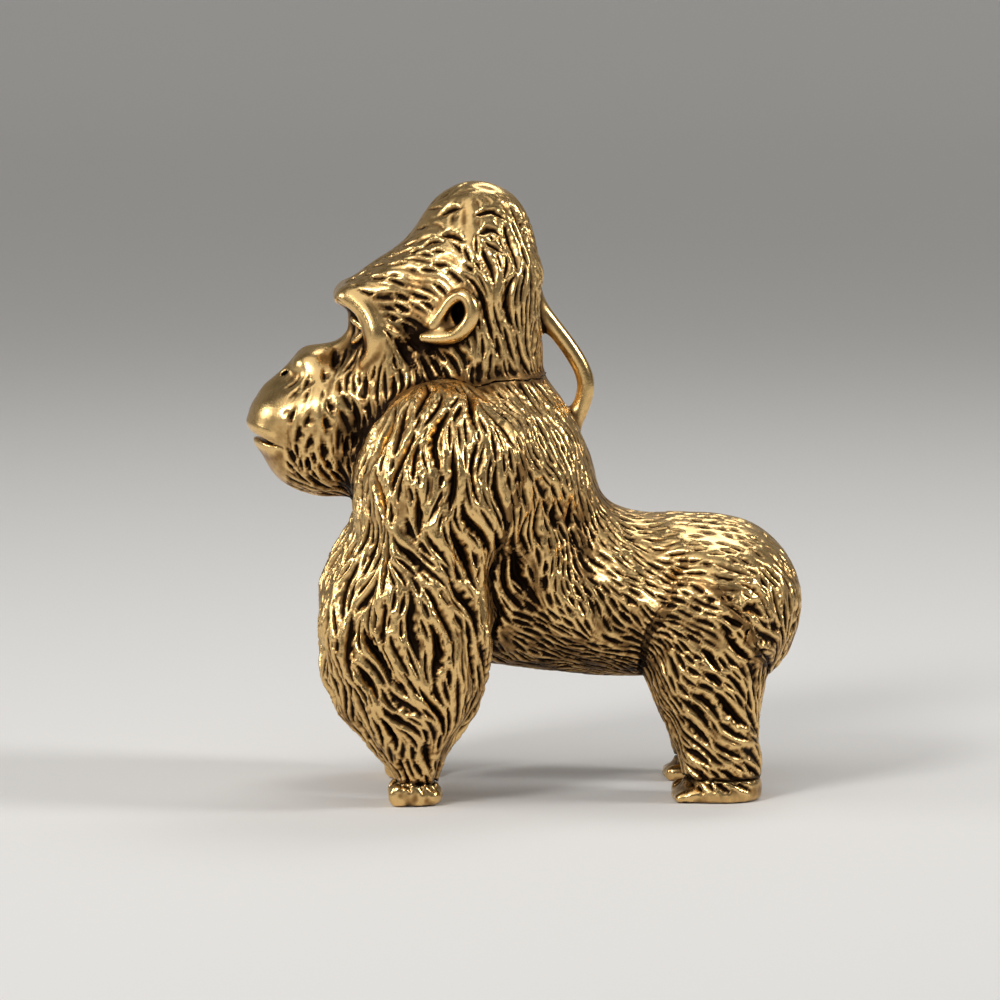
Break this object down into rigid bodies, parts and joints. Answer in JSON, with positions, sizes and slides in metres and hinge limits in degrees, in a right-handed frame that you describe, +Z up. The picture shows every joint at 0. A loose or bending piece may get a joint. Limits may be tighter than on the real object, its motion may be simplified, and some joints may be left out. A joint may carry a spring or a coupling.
{
  "type": "gorilla figurine",
  "caption": "Small solid brass gorilla standing on knuckles and soles, with carved fur, a heavy brow and a wire loop behind the neck for a key ring or cord.",
  "frame": {"origin": "on the ground under the middle of the figure", "axes": "+Z up, the animal faces -Y, +X is its left side"},
  "size_m": [0.022, 0.0324, 0.0358],
  "materials": {
    "furred_brass": "antique brass, dark patina in the fur grooves and rubbed bright on the crests",
    "bare_brass": "satin brass, worn smooth, with brown patina in the creases"
  },
  "bodies": {
    "root": {"torso": "furred_brass", "head": "furred_brass", "left_arm": "furred_brass", "right_arm": "furred_brass", "left_leg": "furred_brass", "right_leg": "furred_brass", "left_hand": "bare_brass", "right_hand": "bare_brass", "left_foot": "bare_brass", "right_foot": "bare_brass", "hanging_loop": "bare_brass"}
  },
  "joints": []
}
